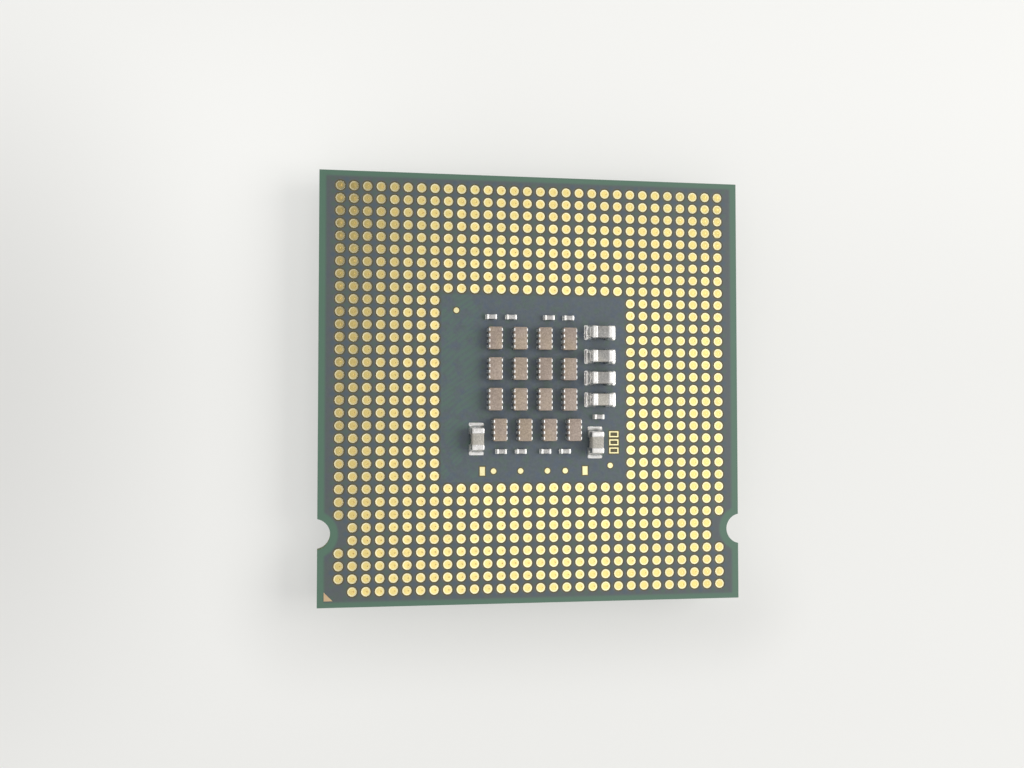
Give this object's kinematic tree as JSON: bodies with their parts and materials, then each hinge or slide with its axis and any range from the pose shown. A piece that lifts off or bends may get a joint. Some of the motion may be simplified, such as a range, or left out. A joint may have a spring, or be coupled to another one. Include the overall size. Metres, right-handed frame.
{
  "type": "desktop processor",
  "caption": "Square land grid processor package lying on its metal lid, gold contact lands and a bay of small ceramic components facing up.",
  "frame": {"origin": "middle of the lid's outer face, under the middle of the board, at the lowest point", "axes": "+Z out of the contact side; +Y away from the edge with the pin one mark; the key notches are on the -X and +X edges near -Y"},
  "size_m": [0.0376, 0.0376, 0.0054],
  "materials": {
    "board": "satin solder mask over laminate",
    "gold_plate": "gold over nickel",
    "nickel_lid": "matt nickel plate over copper",
    "lid_sealant": "matt black",
    "silicon": "polished",
    "bond_metal": "soft metal",
    "underfill_resin": "cured resin",
    "array_ceramic": "fired ceramic",
    "large_ceramic": "fired ceramic",
    "chip_ceramic": "fired ceramic",
    "tin_plate": "tin plate",
    "solder": "bright solder"
  },
  "bodies": {
    "root": {"array_capacitor_1": "array_ceramic", "array_capacitor_10": "array_ceramic", "array_capacitor_11": "array_ceramic", "array_capacitor_12": "array_ceramic", "array_capacitor_13": "array_ceramic", "array_capacitor_14": "array_ceramic", "array_capacitor_15": "array_ceramic", "array_capacitor_16": "array_ceramic", "array_capacitor_2": "array_ceramic", "array_capacitor_3": "array_ceramic", "array_capacitor_4": "array_ceramic", "array_capacitor_5": "array_ceramic", "array_capacitor_6": "array_ceramic", "array_capacitor_7": "array_ceramic", "array_capacitor_8": "array_ceramic", "array_capacitor_9": "array_ceramic", "array_terminals_1": "tin_plate", "array_terminals_10": "tin_plate", "array_terminals_11": "tin_plate", "array_terminals_12": "tin_plate", "array_terminals_13": "tin_plate", "array_terminals_14": "tin_plate", "array_terminals_15": "tin_plate", "array_terminals_16": "tin_plate", "array_terminals_2": "tin_plate", "array_terminals_3": "tin_plate", "array_terminals_4": "tin_plate", "array_terminals_5": "tin_plate", "array_terminals_6": "tin_plate", "array_terminals_7": "tin_plate", "array_terminals_8": "tin_plate", "array_terminals_9": "tin_plate", "chip_bodies": "chip_ceramic", "chip_end_caps": "tin_plate", "component_solder": "solder", "contact_lands_back_left": "gold_plate", "contact_lands_back_right": "gold_plate", "contact_lands_front_left": "gold_plate", "contact_lands_front_right": "gold_plate", "die_underfill": "underfill_resin", "gold_pads": "gold_plate", "heat_spreader": "nickel_lid", "large_capacitor_1": "large_ceramic", "large_capacitor_2": "large_ceramic", "large_capacitor_3": "large_ceramic", "large_capacitor_4": "large_ceramic", "large_capacitor_5": "large_ceramic", "large_capacitor_6": "large_ceramic", "large_end_caps_1": "tin_plate", "large_end_caps_2": "tin_plate", "large_end_caps_3": "tin_plate", "large_end_caps_4": "tin_plate", "large_end_caps_5": "tin_plate", "large_end_caps_6": "tin_plate", "lid_adhesive": "lid_sealant", "package_substrate": "board", "pin_one_mark": "gold_plate", "silicon_die": "silicon", "thermal_solder": "bond_metal"}
  },
  "joints": []
}
